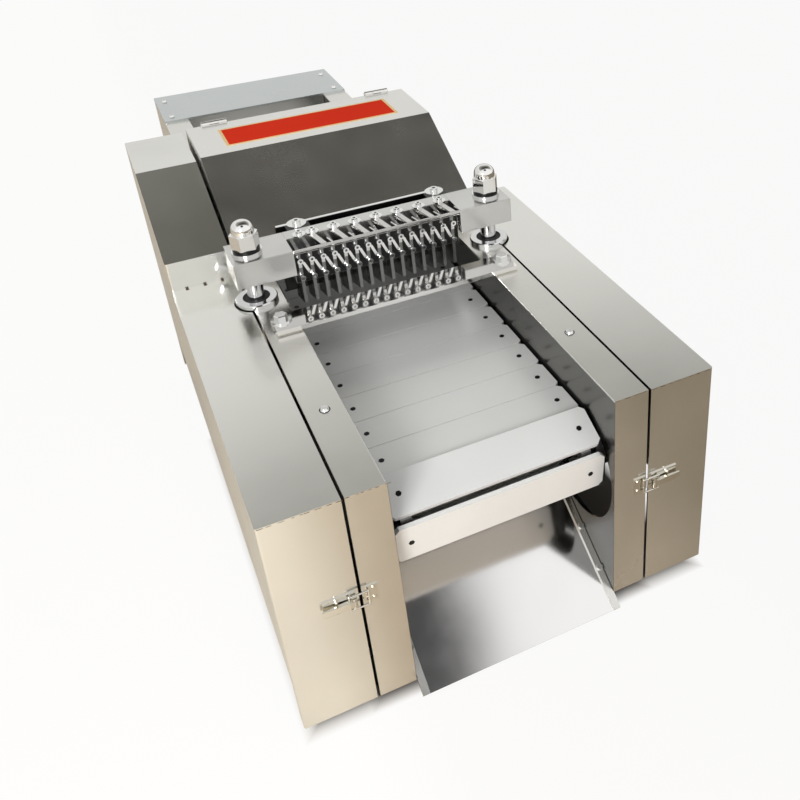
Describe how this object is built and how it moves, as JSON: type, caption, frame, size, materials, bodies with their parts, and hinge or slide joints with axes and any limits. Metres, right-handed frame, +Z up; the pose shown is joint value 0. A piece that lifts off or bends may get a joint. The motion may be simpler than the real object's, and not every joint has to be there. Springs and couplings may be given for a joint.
{
  "type": "frozen meat cutter",
  "caption": "Stainless slat conveyor feeding frozen meat under a crank-driven guillotine head of parallel knives, with hood, side covers and discharge chute.",
  "frame": {"origin": "on the ground, in the middle of the width, in the plane of the front panels", "axes": "+X to the machine's right seen from the discharge end's camera side, +Y from the discharge end to the feed end, +Z up"},
  "size_m": [0.6, 1.5092, 0.5055],
  "materials": {
    "structural_steel": "mill finish",
    "frame_steel": "satin stainless",
    "cover_steel": "satin stainless",
    "polished_steel": "polished stainless",
    "ground_steel": "ground and polished",
    "beam_steel": "milled",
    "blade_steel": "ground",
    "slat_steel": "matt stainless",
    "fastener_steel": "bright",
    "latch_steel": "bright",
    "dark_steel": "blackened",
    "chain_steel": "oiled",
    "cast_housing": "machined casting",
    "motor_paint": "painted",
    "seal_rubber": "moulded",
    "belt_rubber": "moulded"
  },
  "bodies": {
    "base": {"base_frame": "structural_steel", "left_frame": "frame_steel", "right_frame": "frame_steel", "end_panels": "frame_steel", "side_sheets": "frame_steel", "rear_box": "frame_steel", "rear_top_plate": "frame_steel", "pan_screws": "fastener_steel", "bearing_plates": "structural_steel", "flange_bearings": "cast_housing", "post_guides": "ground_steel", "post_seals": "seal_rubber", "hold_down_plate": "polished_steel", "hold_down_washers": "fastener_steel", "hold_down_bolts": "fastener_steel", "chute": "polished_steel", "chute_strips": "frame_steel", "chute_bolts": "fastener_steel", "conveyor_slats": "slat_steel", "slat_screws": "dark_steel", "conveyor_chains": "chain_steel", "conveyor_bed": "structural_steel", "motor": "motor_paint", "gearbox": "cast_housing", "v_belt": "belt_rubber", "main_drive_chain": "chain_steel", "feed_drive_chain": "chain_steel", "infeed_portal": "cover_steel", "hood_hinge_pins": "fastener_steel", "cover_hinges": "fastener_steel", "latch_strikes": "latch_steel"},
    "cutting_head": {"beam": "beam_steel", "knives": "blade_steel", "knife_clamp_screws": "fastener_steel", "cross_knife": "blade_steel", "beam_top_screws": "fastener_steel", "flat_washers": "fastener_steel", "spring_washers": "dark_steel", "domed_nuts": "polished_steel", "guide_posts": "ground_steel", "crossheads": "structural_steel"},
    "crank": {"crankshaft": "ground_steel"},
    "left_rod": {"left_connecting_rod": "cast_housing"},
    "right_rod": {"right_connecting_rod": "cast_housing"},
    "output": {"output_shaft": "ground_steel"},
    "gearbox_input": {"input_pulley": "cast_housing"},
    "motor_output": {"motor_pulley": "cast_housing"},
    "front_drum": {"front_drum_shaft": "ground_steel"},
    "rear_drum": {"rear_drum_shaft": "ground_steel"},
    "hood": {"hood": "cover_steel"},
    "left_side_cover": {"left_cover": "cover_steel", "tower_bolt": "fastener_steel", "left_latch_base": "latch_steel"},
    "right_side_cover": {"right_cover": "cover_steel", "right_latch_base": "latch_steel"},
    "left_lever": {"left_latch_lever": "latch_steel"},
    "right_lever": {"right_latch_lever": "latch_steel"},
    "left_bail": {"left_latch_bail": "latch_steel"},
    "right_bail": {"right_latch_bail": "latch_steel"}
  },
  "joints": [
    {"name": "head_stroke", "type": "slide", "parent": "base", "child": "cutting_head", "axis": [0, 0, 1], "range_m": [-0.035, 0.035]},
    {"name": "crank_spin", "type": "hinge", "parent": "base", "child": "crank", "pos_m": [0, 0.475, 0.12], "axis": [1, 0, 0], "continuous": true},
    {"name": "left_rod_pivot", "type": "hinge", "parent": "crank", "child": "left_rod", "pos_m": [-0.209, 0.51, 0.12], "axis": [1, 0, 0], "continuous": true},
    {"name": "right_rod_pivot", "type": "hinge", "parent": "crank", "child": "right_rod", "pos_m": [0.209, 0.51, 0.12], "axis": [1, 0, 0], "continuous": true},
    {"name": "output_spin", "type": "hinge", "parent": "base", "child": "output", "pos_m": [0, 0.745, 0.12], "axis": [1, 0, 0], "continuous": true},
    {"name": "gearbox_input_spin", "type": "hinge", "parent": "base", "child": "gearbox_input", "pos_m": [-0.276, 0.745, 0.308], "axis": [1, 0, 0], "continuous": true},
    {"name": "motor_spin", "type": "hinge", "parent": "base", "child": "motor_output", "pos_m": [-0.276, 0.874, 0.12], "axis": [1, 0, 0], "continuous": true},
    {"name": "front_drum_spin", "type": "hinge", "parent": "base", "child": "front_drum", "pos_m": [0, 0.075, 0.246], "axis": [1, 0, 0], "continuous": true},
    {"name": "rear_drum_spin", "type": "hinge", "parent": "base", "child": "rear_drum", "pos_m": [0, 1.425, 0.246], "axis": [1, 0, 0], "continuous": true},
    {"name": "hood_lift", "type": "hinge", "parent": "base", "child": "hood", "pos_m": [0, 0.8865, 0.501], "axis": [-1, 0, 0], "range_deg": [0, 100]},
    {"name": "left_cover_swing", "type": "hinge", "parent": "base", "child": "left_side_cover", "pos_m": [-0.2085, 0.925, 0.2], "axis": [0, 0, -1], "range_deg": [0, 95]},
    {"name": "right_cover_swing", "type": "hinge", "parent": "base", "child": "right_side_cover", "pos_m": [0.2085, 0.655, 0.2], "axis": [0, 0, 1], "range_deg": [0, 95]},
    {"name": "left_lever_pull", "type": "hinge", "parent": "left_side_cover", "child": "left_lever", "pos_m": [-0.211, -0.006, 0.208], "axis": [0, 0, 1], "range_deg": [0, 120]},
    {"name": "right_lever_pull", "type": "hinge", "parent": "right_side_cover", "child": "right_lever", "pos_m": [0.211, -0.006, 0.208], "axis": [0, 0, -1], "range_deg": [0, 120]},
    {"name": "left_bail_pivot", "type": "hinge", "parent": "left_lever", "child": "left_bail", "pos_m": [-0.217, -0.006, 0.208], "axis": [0, 0, -1], "range_deg": [0, 120]},
    {"name": "right_bail_pivot", "type": "hinge", "parent": "right_lever", "child": "right_bail", "pos_m": [0.217, -0.006, 0.208], "axis": [0, 0, 1], "range_deg": [0, 120]}
  ],
  "couplings": [
    {"joint": "left_rod_pivot", "follows": "crank_spin", "ratio": -1},
    {"joint": "right_rod_pivot", "follows": "crank_spin", "ratio": -1},
    {"joint": "output_spin", "follows": "crank_spin", "ratio": 1},
    {"joint": "gearbox_input_spin", "follows": "crank_spin", "ratio": 8},
    {"joint": "motor_spin", "follows": "crank_spin", "ratio": 26.5},
    {"joint": "front_drum_spin", "follows": "crank_spin", "ratio": 0.5455},
    {"joint": "rear_drum_spin", "follows": "crank_spin", "ratio": 0.5455},
    {"joint": "left_bail_pivot", "follows": "left_lever_pull", "ratio": 1},
    {"joint": "right_bail_pivot", "follows": "right_lever_pull", "ratio": 1}
  ]
}
